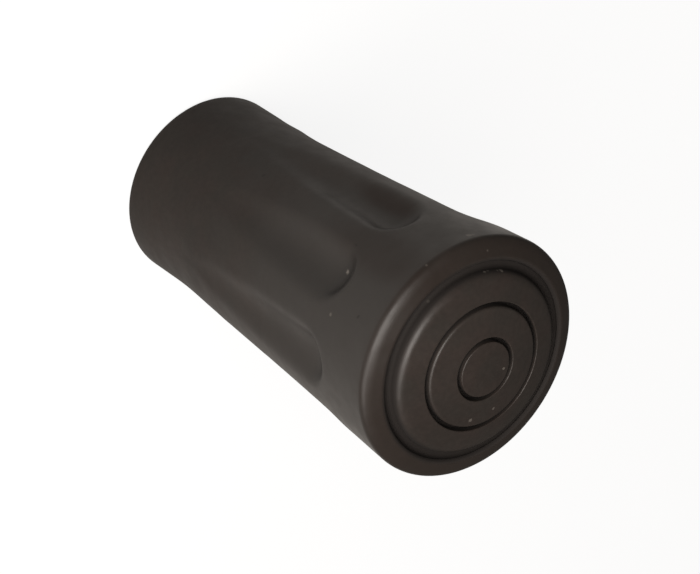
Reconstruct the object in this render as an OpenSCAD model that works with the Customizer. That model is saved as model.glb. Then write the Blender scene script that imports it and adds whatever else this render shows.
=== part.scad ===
// Rubber tip for a trekking pole, moulded in one piece.
// It stands on its open mouth: origin at the centre of the mouth's face, +Z towards the sole.

/* [Body] */
// Diameter of the collar at the mouth
collar_d = 21.4; // [18:0.2:24]
// Height at which the flare would leave the collar, if its sweep were a sharp bend
collar_h = 7.5; // [3:0.5:12]
// Diameter of the rim, at the corner of flare and sole
rim_d = 27.9; // [26:0.1:36]
// Height of the rim's corner
rim_z = 48.45; // [44:0.05:60]
// Rounding of the rim's corner
rim_round = 1.4; // [0.6:0.1:1.8]
// Rounding of the mouth's outer corner
mouth_round = 0.5; // [0.2:0.1:1]
// Radius of the sweep between collar and flare
sweep_r = 60; // [30:5:100]

/* [Flutes] */
// Number of flutes round the body
flute_count = 8; // [4:1:8]
// Height at which a flute starts, as a point
flute_start = 10.7; // [8:0.1:20]
// Height at which a flute ends, at its round end
flute_end = 39.9; // [32:0.1:42]
// Width of a flute at its widest
flute_w = 6.1; // [3:0.1:7]
// Depth of a flute at its deepest
flute_depth = 1.6; // [0.8:0.1:2.4]

/* [Sole] */
// Height of the dome over the rim's corner
sole_rise = 3.1; // [1.5:0.1:4.5]
// Diameter of the flat at the dome's centre
crown_d = 3; // [1:0.5:5]
// Inner diameters of the ring grooves, which are the edges of button, middle and tread
ring_d = [6.2, 13.7, 21.1];
// Widths of the ring grooves
ring_w = [0.65, 0.65, 1.05];
// Roundings of the grooves' inner edges
ring_round = [0.5, 0.6, 0.9];
// Depth of the ring grooves below the domed face
ring_depth = 1.3; // [0.6:0.1:2]

/* [Socket] */
// Diameter of the socket that takes the pole's end
socket_d = 11; // [8:0.1:13]
// Depth of the socket's straight wall, from the mouth
socket_depth = 32; // [20:0.5:34]
// Lead-in chamfer at the mouth
lead_in = 0.8; // [0.2:0.1:1.5]
// Diameter of the well for the pole's metal point
well_d = 8; // [4:0.1:8]
// Height of the cone between socket and well
neck_h = 2; // [1:0.5:4]
// Depth of the well, beyond the cone
well_depth = 4.5; // [2:0.5:6]

/* [Hidden] */
$fn = 96;

collar_r = collar_d / 2;
rim_r = rim_d / 2;
socket_r = socket_d / 2;
well_r = well_d / 2;
// lean of the flare, from the vertical
flare_lean = atan2(rim_r - collar_r, rim_z - collar_h);
// the sole is part of a sphere
dome_r = (pow(rim_r, 2) + pow(sole_rise, 2)) / (2 * sole_rise);
dome_centre = [0, rim_z + sole_rise - dome_r];
crown_z = dome_centre.y + sqrt(pow(dome_r, 2) - pow(crown_d / 2, 2));
// the sweep between collar and flare is drawn in this many steps
sweep_steps = 5;
// overshoot of a cutter past the face it opens
over = 1;
// a flute's point lies this far inside the wall, so that its sides cross the wall cleanly
tip_sink = 0.03;
// a rounding stands this share of its radius off what it touches, so that the two cross cleanly
seam_share = 0.998;

// radius of the flare at a height
function flare_r(z) = collar_r + (z - collar_h) * tan(flare_lean);

// height of the domed sole at a radius
function dome_z(r) = dome_centre.y + sqrt(pow(dome_r, 2) - pow(r, 2));

// point of the sweep between collar and flare, where the wall leans out by a
function sweep_point(a) = [collar_r + sweep_r * (1 - cos(a)),
                           collar_h + sweep_r * (sin(a) - tan(flare_lean / 2))];

// What a rounding takes off the corner between the dome and a wall below it, on a half section.
// centre is the rounding's centre, and wall_lean how far the wall leans out from the vertical.
module corner_outline(centre, round_r, wall_lean) {
    dome_lean = asin(centre.x / (dome_r - round_r));
    reach = round_r + over;
    translate(centre)
        difference() {
            polygon([[0, 0], reach * [sin(dome_lean), cos(dome_lean)], [reach, reach],
                     reach * [cos(wall_lean), -sin(wall_lean)]]);
            circle(round_r);
        }
}

// Half section of the rim's rounding, which touches both the flare and the dome
module rim_corner() {
    off = seam_share * rim_round;
    start = [collar_r - off / cos(flare_lean), collar_h] - dome_centre;
    along = [sin(flare_lean), cos(flare_lean)];
    b = start * along;
    run = sqrt(pow(b, 2) - start * start + pow(dome_r - off, 2)) - b;
    corner_outline(dome_centre + start + run * along, rim_round, flare_lean);
}

// Half section of a ring groove with a round bottom and a rounded inner edge
module ring_outline(r, w, round_r) {
    bottom_z = dome_z(r + w / 2) - ring_depth + w / 2;
    translate([r, bottom_z])
        square([w, ring_depth + over]);
    translate([r + w / 2, bottom_z])
        circle(d = w);
    off = seam_share * round_r;
    corner_outline([r - off, dome_centre.y + sqrt(pow(dome_r - off, 2) - pow(r - off, 2))],
                   round_r, 0);
}

// Half section of the outer form: collar, flare, rim and domed sole with its rings
module outer_outline() {
    difference() {
        intersection() {
            polygon(concat([[0, 0], [collar_r - mouth_round, 0], [collar_r, mouth_round]],
                           [for (i = [0:sweep_steps]) sweep_point(i * flare_lean / sweep_steps)],
                           [[flare_r(crown_z), crown_z], [0, crown_z]]));
            translate(dome_centre)
                circle(dome_r, $fn = 720);
        }
        rim_corner();
        for (i = [0:len(ring_d) - 1])
            ring_outline(ring_d[i] / 2, ring_w[i], ring_round[i]);
    }
}

// Half section of the socket: lead-in, straight wall, cone and well
module socket_outline() {
    neck_z = socket_depth + neck_h;
    polygon([[0, -over], [socket_r + lead_in + over, -over], [socket_r, lead_in],
             [socket_r, socket_depth], [well_r, neck_z],
             [well_r, neck_z + well_depth], [0, neck_z + well_depth]]);
}

// Cutter for one flute: a cone that ends in a ball, lying along the flare
module flute() {
    half_w = flute_w / 2;
    ball_z = flute_end - half_w;
    wall_r = flare_r(ball_z);
    sagitta = wall_r - sqrt(pow(wall_r, 2) - pow(half_w, 2));
    cut = flute_depth - sagitta;
    ball_r = (pow(half_w, 2) + pow(cut, 2)) / (2 * cut);
    ball_x = wall_r + ball_r - flute_depth;
    tip_x = flare_r(flute_start) - tip_sink;
    reach = [ball_x - tip_x, ball_z - flute_start];
    half_angle = asin(seam_share * ball_r / norm(reach));
    seam = [seam_share * ball_r * cos(half_angle),
            norm(reach) - seam_share * ball_r * sin(half_angle)];
    translate([tip_x, 0, flute_start])
        rotate([0, atan2(reach.x, reach.y), 0])
            rotate_extrude() {
                polygon([[0, 0], seam, [0, seam.y]]);
                intersection() {
                    translate([0, norm(reach)])
                        circle(ball_r);
                    translate([0, norm(reach) - ball_r])
                        square(2 * ball_r);
                }
            }
}

module rubber_tip() {
    color([0.24, 0.22, 0.2])
        difference() {
            rotate_extrude()
                difference() {
                    outer_outline();
                    socket_outline();
                }
            // +X points along a ridge, midway between two flutes
            for (i = [0:flute_count - 1])
                rotate([0, 0, (i + 0.5) * 360 / flute_count])
                    flute();
        }
}

rubber_tip();
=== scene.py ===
import bpy, math
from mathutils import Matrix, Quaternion, Vector, noise


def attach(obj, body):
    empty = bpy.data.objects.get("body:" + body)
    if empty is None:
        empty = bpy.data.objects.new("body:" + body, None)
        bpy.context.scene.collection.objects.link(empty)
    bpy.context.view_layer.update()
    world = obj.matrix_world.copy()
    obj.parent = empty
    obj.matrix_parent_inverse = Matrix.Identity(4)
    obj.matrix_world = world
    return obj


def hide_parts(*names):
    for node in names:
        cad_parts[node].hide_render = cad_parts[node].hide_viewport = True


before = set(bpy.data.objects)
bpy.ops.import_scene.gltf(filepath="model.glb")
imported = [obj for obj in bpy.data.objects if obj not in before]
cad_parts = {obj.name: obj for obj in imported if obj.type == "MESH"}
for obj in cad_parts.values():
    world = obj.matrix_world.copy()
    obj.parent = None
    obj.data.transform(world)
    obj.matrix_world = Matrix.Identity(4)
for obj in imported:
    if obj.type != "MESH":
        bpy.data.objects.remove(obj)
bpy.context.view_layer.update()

mm = 0.001


def deselect():
    if bpy.context.object and bpy.context.object.mode != "OBJECT":
        bpy.ops.object.mode_set(mode="OBJECT")
    bpy.ops.object.select_all(action="DESELECT")


# camera: long lens, looking down on the sole, rolled so that the mouth points up to the left
view = {
    "lens": 205.7,
    "sensor": 36,
    "aim": (0.638 * mm, 0.237 * mm, 28.16 * mm),
    "distance": 433.5 * mm,
    "azimuth": 20.4,
    "elevation": 44.48,
    "roll": 123.7,
}


def placeCamera(setting):
    azimuth, elevation = math.radians(setting["azimuth"]), math.radians(setting["elevation"])
    back = Vector((math.sin(azimuth) * math.cos(elevation),
                   -math.cos(azimuth) * math.cos(elevation), math.sin(elevation)))
    turn = (-back).to_track_quat("-Z", "Y") @ Quaternion((0, 0, 1), math.radians(setting["roll"]))
    deselect()
    bpy.ops.object.camera_add(location=Vector(setting["aim"]) + back * setting["distance"],
                              rotation=turn.to_euler())
    camera = bpy.context.object
    camera.data.lens = setting["lens"]
    camera.data.sensor_width = setting["sensor"]
    bpy.context.scene.camera = camera


placeCamera(view)
print("camera placed")

# ---- rubber tip: one lathed skin, inside and out, with the flutes pressed into it (sizes in mm)
tip = {
    "collarR": 10.7, "collarZ": 7.5, "rimR": 13.936, "rimZ": 48.45, "sweepR": 60, "mouthRound": 0.6,
    # the rim is rounded tightly next to the flare and wider next to the dome, and changes from one
    # to the other where its normal rises by 50 degrees
    "rimRound": 1.0, "rimEase": 2.7, "rimChange": 50,
    "rise": 3.1, "crownR": 1.5,
    # grooves in the sole: radius of the inner wall, width, and roundings of the inner and outer edge
    "rings": [(10.42, 1.0, 1.15, 0.45), (6.92, 0.5, 0.36, 0.1), (3.16, 0.5, 0.13, 0.1)],
    "ringDepth": 1.3,
    "socketR": 5.5, "socketDepth": 32, "leadIn": 0.8, "leadRound": 0.3,
    "neck": 2, "neckRound": 0.4, "wellR": 4, "wellDepth": 4.5, "wellRound": 0.3,
    "flutes": 8, "fluteStart": 10.7, "fluteEnd": 39.9, "fluteWidth": 6.1, "fluteDepth": 1.6,
    # how a flute is pressed: softness of its sides and share of its depth along z, softness of its
    # round end, turn in degrees and blunting of its tip
    "press": {"soft": [(10.7, 0.3), (18, 1.4), (26, 1.5), (33, 1.2), (38, 0.8)], "endSoft": 0.45,
              "share": [(11, 0), (16, 0.3), (21, 0.65), (27, 1)], "shift": 0, "blunt": 0},
    # where some flutes, counted from 0 at +X, differ from that
    "pressed": {
        0: {"endSoft": 1.2},
        4: {"soft": [(5, 2.4), (14, 3.5), (30, 3.5), (38, 2.5)], "endSoft": 3.5,
            "share": [(4.5, 0), (9.5, 1)], "shift": 3, "blunt": 1.2},
        5: {"shift": 3.5},
        6: {"shift": -1.8},
        7: {"shift": -1.8},
    },
    # the soft flute and its neighbours, which meet over this outer share of the way to the ridge
    "meeting": (3, 4, 5), "meetFrom": 0.6,
    # heights between which the outer skin is pressed and made uneven
    "skinFrom": 4, "skinTo": 45, "pressFrom": 4.5,
    "uneven": 0.025,
    "around": 320,
}
lean = math.atan2(tip["rimR"] - tip["collarR"], tip["rimZ"] - tip["collarZ"])
domeR = (tip["rimR"] ** 2 + tip["rise"] ** 2) / (2 * tip["rise"])
domeZ = tip["rimZ"] + tip["rise"] - domeR


def flareR(z):
    # radius of the plain flare at a height
    return tip["collarR"] + (z - tip["collarZ"]) * math.tan(lean)


def heightAt(r):
    # height of the sole's dome at a radius
    return domeZ + math.sqrt(domeR ** 2 - r * r)


def arc(centre, radius, start, end, steps):
    return [(centre[0] + radius * math.cos(math.radians(start + (end - start) * i / steps)),
             centre[1] + radius * math.sin(math.radians(start + (end - start) * i / steps)))
            for i in range(steps + 1)]


def run(start, end, steps):
    return [(start[0] + (end[0] - start[0]) * i / steps, start[1] + (end[1] - start[1]) * i / steps)
            for i in range(steps + 1)]


def domeRun(outer, inner, steps):
    radii = [outer + (inner - outer) * i / steps for i in range(steps + 1)]
    return [(r, heightAt(r)) for r in radii]


def rimCorner():
    # two arcs one after the other, from the flare up to the dome; halving finds their start on the dome
    low, high = tip["collarR"], tip["rimR"]
    ease, tight, change = tip["rimEase"], tip["rimRound"], tip["rimChange"]
    shift = ((ease - tight) * math.cos(math.radians(change)),
             (ease - tight) * math.sin(math.radians(change)))
    for i in range(30):
        start = (low + high) / 2
        normal = math.degrees(math.acos(start / domeR))
        eased = (start * (1 - ease / domeR), domeZ + (heightAt(start) - domeZ) * (1 - ease / domeR))
        tightened = (eased[0] + shift[0], eased[1] + shift[1])
        corner = (arc(tightened, tight, -math.degrees(lean), change, 12)
                  + arc(eased, ease, change, normal, 6)[1:])
        if corner[0][0] > flareR(corner[0][1]):
            high = start
        else:
            low = start
    return corner


def wallOutline():
    # from the well's floor down the socket, round the mouth and up the outside to the rim
    s = tip
    neckZ = s["socketDepth"] + s["neck"]
    wellZ = neckZ + s["wellDepth"]
    mouthR = s["collarR"] - s["mouthRound"]
    well, neck, lead = s["wellRound"], s["neckRound"], s["leadRound"]
    points = [(0, wellZ)] + arc((s["wellR"] - well, wellZ - well), well, 90, 0, 3)
    points.append((s["wellR"], neckZ))
    points += arc((s["socketR"] - neck, s["socketDepth"] - neck / 2), neck, 45, 0, 3)
    points += run((s["socketR"], s["socketDepth"] - 1), (s["socketR"], s["leadIn"] + 0.2), 6)
    points += arc((s["socketR"] + s["leadIn"] + lead / 2, lead), lead, 225, 270, 2)
    points += arc((mouthR, s["mouthRound"]), s["mouthRound"], -90, 0, 6)
    sweepZ = s["collarZ"] - s["sweepR"] * math.tan(lean / 2)
    points += run((s["collarR"], s["mouthRound"] + 0.5), (s["collarR"], sweepZ - 0.4), 6)
    points += [(s["collarR"] + s["sweepR"] * (1 - math.cos(lean * i / 4)),
                sweepZ + s["sweepR"] * math.sin(lean * i / 4)) for i in range(5)]
    corner = rimCorner()
    # up the flare, in the shortest steps where the flutes end
    z = points[-1][1] + 0.35
    while z < corner[0][1] - 0.2:
        points.append((flareR(z), z))
        z += 0.55 if z < 20 else 0.4 if z < 33 or z > 41.5 else 0.22
    return points + corner


def soleOutline(start):
    # from the rim's rounding in to the axis: each groove has a rounded lip, a wall, a half-round
    # floor and the rounded edge of the disc inside it, and the dome fills the ways between them
    points = []
    edge = start
    for radius, width, inner, lip in tip["rings"]:
        outer = radius + width
        lipZ = domeZ + math.sqrt((domeR - lip) ** 2 - (outer + lip) ** 2)
        normal = math.degrees(math.acos((outer + lip) / (domeR - lip)))
        points += domeRun(edge - 0.12, (outer + lip) * domeR / (domeR - lip) + 0.05, 8)
        points += arc((outer + lip, lipZ), lip, normal, 180, 4)
        floorZ = heightAt(radius + width / 2) - tip["ringDepth"] + width / 2
        points += run((outer, lipZ - 0.12), (outer, floorZ + 0.1), 2)
        points += arc((radius + width / 2, floorZ), width / 2, 0, -180, 8)
        innerZ = domeZ + math.sqrt((domeR - inner) ** 2 - (radius - inner) ** 2)
        normal = math.degrees(math.acos((radius - inner) / (domeR - inner)))
        points += arc((radius - inner, innerZ), inner, 0, normal, 9)
        edge = (radius - inner) * domeR / (domeR - inner)
    points += domeRun(edge - 0.1, tip["crownR"], 6)
    return points + [(0.7, heightAt(tip["crownR"])), (0, heightAt(tip["crownR"]))]


def blend(table, z):
    # value at z of a table of (z, value), in straight runs
    if z <= table[0][0]:
        return table[0][1]
    for (z0, low), (z1, high) in zip(table, table[1:]):
        if z < z1:
            return low + (high - low) * (z - z0) / (z1 - z0)
    return table[-1][1]


def softMax(a, b, soft):
    # the larger of two values, eased where they differ by less than soft
    over = max(soft - abs(a - b), 0) / soft
    return max(a, b) + over * over * soft / 4


# the flute's form: a cone from a point on the flare to a ball, which lies along the flare
halfWidth = tip["fluteWidth"] / 2
ballZ = tip["fluteEnd"] - halfWidth
ballWall = flareR(ballZ)
ballCut = tip["fluteDepth"] - (ballWall - math.sqrt(ballWall ** 2 - halfWidth ** 2))
ballR = (halfWidth ** 2 + ballCut ** 2) / (2 * ballCut)
fluteTip = (flareR(tip["fluteStart"]), tip["fluteStart"])
fluteRun = (ballWall + ballR - tip["fluteDepth"] - fluteTip[0], ballZ - fluteTip[1])
fluteLength = math.hypot(*fluteRun)


def fluteDistance(x, y, z, blunt):
    # signed distance outside the flute's cutter, whose axis lies in the plane y = 0; blunt softens
    # the cutter's tip
    dx, dz = x - fluteTip[0], z - fluteTip[1]
    up = (dx * fluteRun[0] + dz * fluteRun[1]) / fluteLength
    side = math.hypot((dx * fluteRun[1] - dz * fluteRun[0]) / fluteLength, y, blunt)
    slope = -ballR / fluteLength
    cosine = math.sqrt(1 - slope * slope)
    k = cosine * up - slope * side
    if k < 0:
        return math.hypot(side, up)
    if k > cosine * fluteLength:
        return math.hypot(side, up - fluteLength) - ballR
    return side * cosine + up * slope


def pressedRadius(wall, z, angle, press):
    # radius of the pressed wall at a height and at an angle off the flute's middle, found by halving
    # between deeper than any flute and just outside the wall
    past = min(max((z - ballZ) / halfWidth, 0), 1)
    soft = blend(press["soft"], z) * (1 - past) + press["endSoft"] * past
    low, high = wall - 2.4, wall + 0.1
    for i in range(22):
        r = (low + high) / 2
        skin = (r - flareR(z)) * math.cos(lean)
        cutter = -fluteDistance(r * math.cos(angle), r * math.sin(angle), z, press["blunt"])
        if softMax(skin, cutter, soft) > 0:
            high = r
        else:
            low = r
    return wall - (wall - low) * blend(press["share"], z)


def buildTip(name):
    deselect()
    bpy.ops.mesh.primitive_plane_add(size=mm)
    piece = bpy.context.object
    piece.name = name
    walls = wallOutline()
    outline = walls + soleOutline(walls[-1][0])
    bpy.ops.object.mode_set(mode="EDIT")
    bpy.ops.mesh.select_all(action="SELECT")
    bpy.ops.mesh.merge(type="CENTER")
    bpy.ops.transform.translate(value=(outline[0][0] * mm, 0, outline[0][1] * mm))
    for before, after in zip(outline, outline[1:]):
        step = ((after[0] - before[0]) * mm, 0, (after[1] - before[1]) * mm)
        bpy.ops.mesh.extrude_vertices_move(TRANSFORM_OT_translate={"value": step})
    bpy.ops.object.mode_set(mode="OBJECT")
    # the ends lie on the axis itself, so that the turned skin closes
    piece.data.vertices[0].co.x = piece.data.vertices[-1].co.x = 0
    bpy.ops.object.modifier_add(type="SCREW")
    turn = piece.modifiers[-1]
    turn.steps = turn.render_steps = tip["around"]
    turn.use_merge_vertices = True
    turn.merge_threshold = 0.001 * mm
    bpy.ops.object.modifier_apply(modifier=turn.name)
    bpy.ops.object.mode_set(mode="EDIT")
    bpy.ops.mesh.select_all(action="SELECT")
    bpy.ops.mesh.remove_doubles(threshold=0.002 * mm)
    bpy.ops.mesh.normals_make_consistent(inside=False)
    bpy.ops.object.mode_set(mode="OBJECT")
    return piece


presses = [{**tip["press"], **tip["pressed"].get(i, {})} for i in range(tip["flutes"])]


def skinRadius(r, z, angle, press):
    # a press only takes away, and starts above a given height
    if z <= tip["pressFrom"]:
        return r
    return min(r, pressedRadius(r, z, angle, press))


def flutedRadius(r, z, angle, flute, side):
    # side is the share of the way from the flute's middle to the ridge's middle
    pressed = skinRadius(r, z, angle, presses[flute])
    if side > tip["meetFrom"] and flute in tip["meeting"]:
        share = (side - tip["meetFrom"]) / (1 - tip["meetFrom"])
        plain = skinRadius(r, z, angle, tip["press"])
        pressed += (plain - pressed) * share * share * (3 - 2 * share)
    return pressed


def pressFlutes(piece):
    pitch = 2 * math.pi / tip["flutes"]
    known = {}
    for vertex in piece.data.vertices:
        x, y, z = (c / mm for c in vertex.co)
        r = math.hypot(x, y)
        # the socket's wall and the ends of the tip stay plain
        inside = r < (tip["socketR"] + tip["collarR"]) / 2
        if inside or not tip["skinFrom"] <= z <= tip["skinTo"]:
            continue
        turn = math.atan2(y, x) % (2 * math.pi)
        angle = turn % pitch - pitch / 2
        flute = int(turn // pitch)
        # a turned flute keeps the ridges' middles where they are
        angle -= math.radians(presses[flute]["shift"]) * (1 - (2 * angle / pitch) ** 2)
        key = (flute, round(z, 3), round(abs(angle), 4))
        if key not in known:
            known[key] = flutedRadius(r, z, abs(angle), flute, abs(angle) / (pitch / 2))
        place = Vector((x, y, z))
        wave = noise.noise(place * 0.16) * 0.6 + noise.noise(place * 0.45) * 0.4
        level = min(1, (z - tip["skinFrom"]) / 3, (tip["skinTo"] - z) / 3)
        pressed = known[key] + tip["uneven"] * wave * level
        vertex.co.x *= pressed / r
        vertex.co.y *= pressed / r


tipPiece = buildTip("rubberTip")
pressFlutes(tipPiece)
deselect()
tipPiece.select_set(True)
bpy.context.view_layer.objects.active = tipPiece
bpy.ops.object.shade_smooth_by_angle(angle=math.radians(50))
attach(tipPiece, "root")
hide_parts("rubber_tip")
print("rubber tip modelled:", len(tipPiece.data.polygons), "faces")

# ---- material: moulded rubber, warm black, half matt (sizes in mm)
rubber = {
    "base": (0.0245, 0.0190, 0.0166), "tint": (0.0225, 0.0189, 0.0166),
    "roughness": 0.4, "specular": 0.3, "mottle": 0.2, "grain": 0.03,
    # painted shade in the sole's grooves, dark and rough: where it sets in by depth under the dome, the
    # radii between which it comes and goes in the outer groove, and the radius where all of it ends
    "grooveShade": (0.0118, 0.0092, 0.0080), "grooveShadeRoughness": 0.85,
    "grooveShadeDepth": (0.12, 0.5), "grooveShadeBand": (10.5, 10.9, 11.55, 12.1), "grooveShadeEnd": 12.2, "soleFrom": 46.5,
    # painted sheen, greyer, high on the flank: ragged where it starts, and less of it at the rim
    "paintedSheen": (0.0300, 0.0275, 0.0256), "paintedSheenShare": 0.85,
    "paintedSheenStart": (12, 38), "paintedSheenRagged": 4, "paintedSheenEnd": (47, 49),
    # painted shade, browner, on the land between the outer groove and the rim
    "land": (0.0175, 0.0130, 0.0108), "landShare": 0.7,
    "landRadii": (11.4, 12.2), "landHeights": (47.6, 48.6),
    # patches of painted shade, brown and soft at their edges: inside one flute, and between it and the
    # next one
    "shadePatch": (0.011, 0.0056, 0.0036),
    "shadePatches": [
        {"place": (-6.1, -10.3, 33.5), "across": 2.2, "along": 7.0, "strength": 0.9},
        {"place": (0.5, -12.9, 41.5), "across": 3.6, "along": 11.0, "strength": 0.5},
    ],
    # small nicks, specks and pits: place, radius and strength
    "dust": (0.2, 0.18, 0.16),
    "lightMarks": [
        ((3.57, -11.10, 38.03), 0.34, 0.9), ((3.72, -11.06, 38.3), 0.24, 0.5),
        ((8.32, -10.38, 40.42), 0.2, 0.25), ((5.40, -10.25, 32.27), 0.16, 0.2),
        ((-5.65, -8.73, 49.22), 0.24, 0.4), ((-6.09, -8.44, 49.14), 0.16, 0.2),
        ((-7.02, -7.65, 49.32), 0.18, 0.25), ((-7.37, -7.31, 49.33), 0.28, 0.45),
        ((-1.80, 1.58, 51.46), 0.18, 0.4), ((1.11, 5.44, 51.08), 0.2, 0.35),
        ((3.99, 4.52, 50.99), 0.26, 0.35), ((1.13, -10.39, 48.7), 0.2, 0.08),
        ((-6.88, -12.01, 47.03), 0.4, 0.4), ((-7.21, -11.82, 47.13), 0.3, 0.25),
        ((-7.14, -10.48, 49.01), 0.14, 0.2), ((-0.76, -13.78, 48.02), 0.16, 0.2),
    ],
    "pit": (0.006, 0.005, 0.004),
    "darkMarks": [
        ((7.22, -11.59, 44.68), 0.3, 0.6), ((1.31, -13.00, 38.00), 0.26, 0.6),
        ((-0.14, -11.57, 18.48), 0.26, 0.5),
    ],
}


class Graph:
    # a node tree with short ways to add nodes and links
    def __init__(self, tree):
        self.tree = tree

    def add(self, kind, settings={}, inputs={}):
        node = self.tree.nodes.new(kind)
        for key, value in settings.items():
            setattr(node, key, value)
        for key, value in inputs.items():
            if isinstance(value, bpy.types.NodeSocket):
                self.tree.links.new(value, node.inputs[key])
            else:
                node.inputs[key].default_value = value
        return node

    def math(self, operation, a, b):
        node = self.add("ShaderNodeMath", {"operation": operation}, {0: a, 1: b})
        return node.outputs[0]

    def vector(self, operation, a, b=(0, 0, 0), output="Vector"):
        node = self.add("ShaderNodeVectorMath", {"operation": operation}, {0: a, 1: b})
        return node.outputs[output]

    def noise(self, where, scale, detail=3, roughness=0.5):
        node = self.add("ShaderNodeTexNoise", {}, {"Vector": where, "Scale": scale, "Detail": detail,
                                                   "Roughness": roughness})
        return node.outputs["Fac"]

    def span(self, value, low, high, toLow=0.0, toHigh=1.0, smooth=True):
        # value taken from low..high to toLow..toHigh, and held there past the ends
        kind = "SMOOTHSTEP" if smooth else "LINEAR"
        node = self.add("ShaderNodeMapRange", {"interpolation_type": kind},
                        {"Value": value, "From Min": low, "From Max": high,
                         "To Min": toLow, "To Max": toHigh})
        return node.outputs[0]

    def mix(self, share, a, b):
        node = self.add("ShaderNodeMix", {"data_type": "RGBA"}, {0: share, 6: a, 7: b})
        return node.outputs[2]


def mottledTone(g, where, fine, s):
    # two near colours in clouds, with a fine and a broad change of level over them
    cloud = g.span(g.noise(where, 260, 4, 0.55), 0.35, 0.65)
    tone = g.mix(cloud, s["base"] + (1,), s["tint"] + (1,))
    level = g.span(fine, 0.25, 0.75, 1 - s["mottle"] / 2, 1 + s["mottle"] / 2)
    level = g.math("MULTIPLY", level, g.span(g.noise(where, 90, 2), 0.3, 0.7, 0.92, 1.08))
    return g.add("ShaderNodeVectorMath", {"operation": "SCALE"}, {0: tone, "Scale": level}).outputs[0]


def markMask(g, where, fine, marks):
    # small round marks with ragged edges
    total = None
    for place, size, strength in marks:
        far = g.vector("DISTANCE", where, tuple(c * mm for c in place), output="Value")
        edge = g.math("ADD", far, g.span(fine, 0.2, 0.8, -0.5 * size * mm, 0.5 * size * mm))
        spot = g.span(edge, 0.35 * size * mm, size * mm, strength, 0.0)
        total = spot if total is None else g.math("MAXIMUM", total, spot)
    return total


def shadePatchMask(g, where, shadePatch):
    # a soft egg of painted shade that stands upright
    across, along = 1 / (shadePatch["across"] * mm), 1 / (shadePatch["along"] * mm)
    reach = (across, across, along)
    middle = tuple(c * mm * k for c, k in zip(shadePatch["place"], reach))
    off = g.vector("SUBTRACT", g.vector("MULTIPLY", where, reach), middle)
    return g.span(g.vector("LENGTH", off, output="Value"), 0.35, 1.1, shadePatch["strength"], 0.0)


def grooveShadeMask(g, where, height, radius, s):
    # where the grooves' painted shade lies: by depth under the sole's dome, and over all of the outer
    # groove
    fromDome = g.vector("DISTANCE", where, (0, 0, domeZ * mm), output="Value")
    shallow, deep = s["grooveShadeDepth"]
    sunk = g.span(fromDome, (domeR - deep) * mm, (domeR - shallow) * mm, 1.0, 0.0)
    inner, full, thin, outer = (r * mm for r in s["grooveShadeBand"])
    band = g.math("MULTIPLY", g.span(radius, inner, full), g.span(radius, thin, outer, 1.0, 0.0))
    within = g.math("LESS_THAN", radius, s["grooveShadeEnd"] * mm)
    sunk = g.math("MULTIPLY", g.math("MAXIMUM", sunk, band), within)
    return g.math("MULTIPLY", sunk, g.math("GREATER_THAN", height, s["soleFrom"] * mm))


def paintedSheenMask(g, where, height, s):
    # painted sheen: grows upwards from a ragged start and thins out at the rim
    ragged = s["paintedSheenRagged"] * mm
    ragged = g.math("ADD", height, g.span(g.noise(where, 120, 3), 0.3, 0.7, -ragged, ragged))
    start = g.span(ragged, *(z * mm for z in s["paintedSheenStart"]))
    end = g.span(height, *(z * mm for z in s["paintedSheenEnd"]), s["paintedSheenShare"], 0.0)
    return g.math("MULTIPLY", start, end)


def landMask(g, height, radius, s):
    # painted shade over the land between the outer groove and the rim
    land = g.math("MULTIPLY", g.span(radius, *(r * mm for r in s["landRadii"])),
                  g.span(height, *(z * mm for z in s["landHeights"])))
    return g.math("MULTIPLY", land, s["landShare"])


def toneGroup(s):
    # warm black rubber with painted sheen, painted shade on the land and in patches, painted shade in
    # the grooves, then specks and pits laid over it in turn
    tree = bpy.data.node_groups.new("rubberTone", "ShaderNodeTree")
    tree.interface.new_socket("Color", in_out="OUTPUT", socket_type="NodeSocketColor")
    tree.interface.new_socket("Roughness", in_out="OUTPUT", socket_type="NodeSocketFloat")
    g = Graph(tree)
    where = g.add("ShaderNodeTexCoord").outputs["Object"]
    height = g.add("ShaderNodeSeparateXYZ", {}, {0: where}).outputs[2]
    radius = g.vector("LENGTH", g.vector("MULTIPLY", where, (1, 1, 0)), output="Value")
    fine = g.noise(where, 1800, 3, 0.6)
    tone = mottledTone(g, where, fine, s)
    tone = g.mix(paintedSheenMask(g, where, height, s), tone, s["paintedSheen"] + (1,))
    tone = g.mix(landMask(g, height, radius, s), tone, s["land"] + (1,))
    for shadePatch in s["shadePatches"]:
        tone = g.mix(shadePatchMask(g, where, shadePatch), tone, s["shadePatch"] + (1,))
    sunk = grooveShadeMask(g, where, height, radius, s)
    tone = g.mix(sunk, tone, s["grooveShade"] + (1,))
    tone = g.mix(markMask(g, where, fine, s["lightMarks"]), tone, s["dust"] + (1,))
    tone = g.mix(markMask(g, where, fine, s["darkMarks"]), tone, s["pit"] + (1,))
    rough = g.span(g.noise(where, 420, 3, 0.6), 0.3, 0.7, s["roughness"] - 0.03, s["roughness"] + 0.04)
    rough = g.span(sunk, 0, 1, rough, s["grooveShadeRoughness"], smooth=False)
    g.add("NodeGroupOutput", {}, {"Color": tone, "Roughness": rough})
    return tree


def grainGroup(s):
    # fine moulded grain, with a slight waviness under it
    tree = bpy.data.node_groups.new("rubberGrain", "ShaderNodeTree")
    tree.interface.new_socket("Normal", in_out="OUTPUT", socket_type="NodeSocketVector")
    g = Graph(tree)
    where = g.add("ShaderNodeTexCoord").outputs["Object"]
    finest = g.math("MULTIPLY", g.noise(where, 5200, 2), 0.35)
    height = g.math("ADD", finest, g.noise(where, 1500, 3, 0.6))
    bump = g.add("ShaderNodeBump", {}, {"Strength": s["grain"] * 4, "Distance": 0.03 * mm,
                                        "Height": height})
    wave = g.add("ShaderNodeBump", {}, {"Strength": 0.35, "Distance": 0.25 * mm,
                                        "Height": g.noise(where, 230, 2), "Normal": bump.outputs[0]})
    g.add("NodeGroupOutput", {}, {"Normal": wave.outputs[0]})
    return tree


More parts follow.
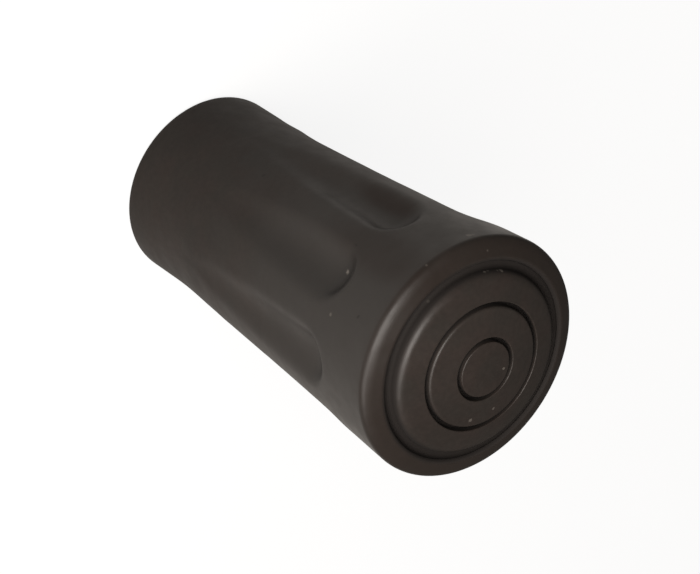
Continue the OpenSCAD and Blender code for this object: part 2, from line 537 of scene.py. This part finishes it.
def rubberMaterial(s):
    made = bpy.data.materials.new("mouldedRubber")
    made.use_nodes = True
    g = Graph(made.node_tree)
    skin = made.node_tree.nodes["Principled BSDF"]
    skin.inputs["Specular IOR Level"].default_value = s["specular"]
    tone = g.add("ShaderNodeGroup", {"node_tree": toneGroup(s)})
    grain = g.add("ShaderNodeGroup", {"node_tree": grainGroup(s)})
    made.node_tree.links.new(tone.outputs["Color"], skin.inputs["Base Color"])
    made.node_tree.links.new(tone.outputs["Roughness"], skin.inputs["Roughness"])
    made.node_tree.links.new(grain.outputs["Normal"], skin.inputs["Normal"])
    return made


tipPiece.data.materials.append(rubberMaterial(rubber))
print("rubber material made")

# ---- floor and world: grey to the lamps' light, white to the camera (sizes in mm)
studio = {
    # the floor lies a hair below the mouth's face
    "floorZ": -0.02, "floorSize": 3000,
    "floor": 0.13, "floorGlow": 0.88, "worldGlow": 0.95, "ambient": 0.15,
    # in reflections both are dimmer and faintly warm, and the floor is a pale sheet round the tip:
    # shaded next to it, and dark from some way off
    "worldMirrored": 0.1, "floorMirrored": 0.06, "sheetMirrored": (0.16, 0.5), "warm": (1, 0.92, 0.84),
    "sheetShade": (12, 52), "sheetEdge": (70, 115),
}


def glowStrength(g, direct, mirrored):
    # glow for camera rays, and a dimmer one for glossy and transmission rays
    path = g.add("ShaderNodeLightPath").outputs
    bounced = g.math("MAXIMUM", path["Is Glossy Ray"], path["Is Transmission Ray"])
    return g.math("MAXIMUM", g.math("MULTIPLY", path["Is Camera Ray"], direct),
                  g.math("MULTIPLY", bounced, mirrored))


def glowColor(g, s):
    # white to the camera, faintly warm in reflections
    path = g.add("ShaderNodeLightPath").outputs
    return g.mix(path["Is Camera Ray"], s["warm"] + (1,), (1, 1, 1, 1))


def buildFloor(s):
    deselect()
    bpy.ops.mesh.primitive_plane_add(size=s["floorSize"] * mm, location=(0, 0, s["floorZ"] * mm))
    floor = bpy.context.object
    floor.name = "floor"
    made = bpy.data.materials.new("paleFloor")
    made.use_nodes = True
    g = Graph(made.node_tree)
    skin = made.node_tree.nodes["Principled BSDF"]
    skin.inputs["Base Color"].default_value = (s["floor"],) * 3 + (1,)
    skin.inputs["Roughness"].default_value = 0.9
    skin.inputs["Specular IOR Level"].default_value = 0
    where = g.add("ShaderNodeTexCoord").outputs["Object"]
    off = g.vector("LENGTH", where, output="Value")
    shade = g.span(off, *(r * mm for r in s["sheetShade"]), *s["sheetMirrored"])
    sheet = g.math("MULTIPLY", shade, g.span(off, *(r * mm for r in s["sheetEdge"]), 1.0, 0.0))
    glow = glowStrength(g, s["floorGlow"], g.math("ADD", sheet, s["floorMirrored"]))
    made.node_tree.links.new(glow, skin.inputs["Emission Strength"])
    made.node_tree.links.new(glowColor(g, s), skin.inputs["Emission Color"])
    floor.data.materials.append(made)


def buildWorld(s):
    world = bpy.data.worlds.new("studio")
    bpy.context.scene.world = world
    world.use_nodes = True
    g = Graph(world.node_tree)
    sky = world.node_tree.nodes["Background"]
    world.node_tree.links.new(glowColor(g, s), sky.inputs["Color"])
    strength = g.math("MAXIMUM", glowStrength(g, s["worldGlow"], s["worldMirrored"]), s["ambient"])
    world.node_tree.links.new(strength, sky.inputs["Strength"])


buildFloor(studio)
buildWorld(studio)

# ---- lamps: round soft lights that all look at the middle of the tip
# turn and height in degrees, distance and size in metres, power in watts
lamps = {
    "key": {"turn": 311, "height": 49, "distance": 0.22, "size": 0.16, "power": 0.64},
    "side": {"turn": 355, "height": 25, "distance": 0.4, "size": 0.3, "power": 0.8},
}


def placeLamp(name, s):
    turn, height = math.radians(s["turn"]), math.radians(s["height"])
    aim = Vector((0, 0, 26 * mm))
    away = Vector((math.cos(turn) * math.cos(height), math.sin(turn) * math.cos(height),
                   math.sin(height)))
    deselect()
    bpy.ops.object.light_add(type="AREA", location=aim + away * s["distance"],
                             rotation=away.to_track_quat("Z", "Y").to_euler())
    lamp = bpy.context.object
    lamp.name = name
    lamp.data.shape = "DISK"
    lamp.data.size = s["size"]
    lamp.data.energy = s["power"]
    lamp.data.color = (1, 0.95, 0.9)


for name, setting in lamps.items():
    placeLamp(name, setting)
print("studio built")

bpy.context.scene.view_settings.view_transform = "Standard"
